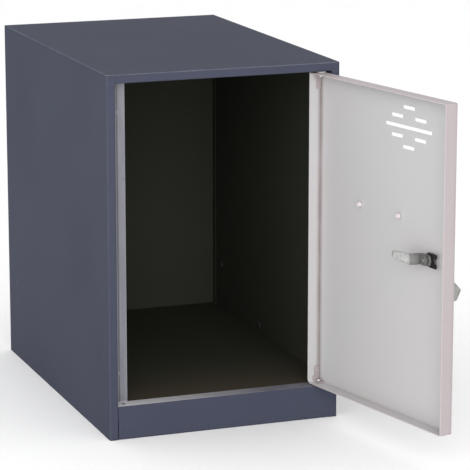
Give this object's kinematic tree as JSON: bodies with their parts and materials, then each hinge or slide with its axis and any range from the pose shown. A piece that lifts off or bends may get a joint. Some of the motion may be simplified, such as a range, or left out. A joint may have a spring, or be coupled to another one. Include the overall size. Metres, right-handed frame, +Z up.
{
  "type": "locker cabinet",
  "caption": "Free-standing single-cell steel locker with a slotted door open on pin hinges and a turning latch with a padlock eye.",
  "frame": {"origin": "On the floor, in the middle of the plinth's foot flange at the front of the cell, 10 mm behind the front face.", "axes": "+X to the right seen from the front, +Y from the front to the back, +Z up. The door is shown open, turned about the right-hand hinge line."},
  "size_m": [0.3776, 0.7189, 0.46],
  "materials": {
    "body_paint": "satin",
    "stop_paint": "satin",
    "door_paint": "satin",
    "bracket_paint": "satin",
    "rivet_metal": "satin",
    "plug_plastic": "matte",
    "bush_nylon": "matte",
    "buffer_rubber": "matte",
    "pin_steel": "satin",
    "holder_steel": "satin",
    "lock_zinc": "satin",
    "handle_metal": "satin",
    "washer_black": "matte",
    "cam_steel": "satin"
  },
  "bodies": {
    "cell": {"left_side_panel": "body_paint", "right_side_panel": "body_paint", "top_panel": "body_paint", "back_panel": "body_paint", "floor_panel": "body_paint", "plinth_front": "body_paint", "rear_foot_rail": "body_paint", "left_stop_strip": "stop_paint", "sill_strip": "stop_paint", "hinge_bush_top": "bush_nylon", "hinge_bush_bottom": "bush_nylon", "stop_buffer_upper": "buffer_rubber", "stop_buffer_lower": "buffer_rubber", "hole_plug_left_1": "plug_plastic", "hole_plug_left_2": "plug_plastic", "hole_plug_left_3": "plug_plastic", "hole_plug_right_1": "plug_plastic", "hole_plug_right_2": "plug_plastic", "hole_plug_right_3": "plug_plastic"},
    "door": {"door_panel": "door_paint", "hinge_bracket_top": "bracket_paint", "hinge_bracket_bottom": "bracket_paint", "hinge_pin_top": "pin_steel", "hinge_pin_bottom": "pin_steel", "card_holder": "holder_steel", "card_rivet_left": "rivet_metal", "card_rivet_right": "rivet_metal", "lock_plate": "lock_zinc", "lock_barrel": "lock_zinc", "barrel_nut": "lock_zinc"},
    "latch": {"handle": "handle_metal", "spindle": "lock_zinc", "stop_washer": "washer_black", "cam": "cam_steel", "cam_nut": "lock_zinc"}
  },
  "joints": [
    {"name": "door_hinge", "type": "hinge", "parent": "cell", "child": "door", "pos_m": [0.1298, -0.0036, 0.246], "axis": [0, 0, 1], "range_deg": [-102.5, 15]},
    {"name": "latch_turn", "type": "hinge", "parent": "door", "child": "latch", "pos_m": [0.18496, -0.22286, 0.252], "axis": [0.9763, 0.2164, 0], "range_deg": [0, 180]}
  ]
}
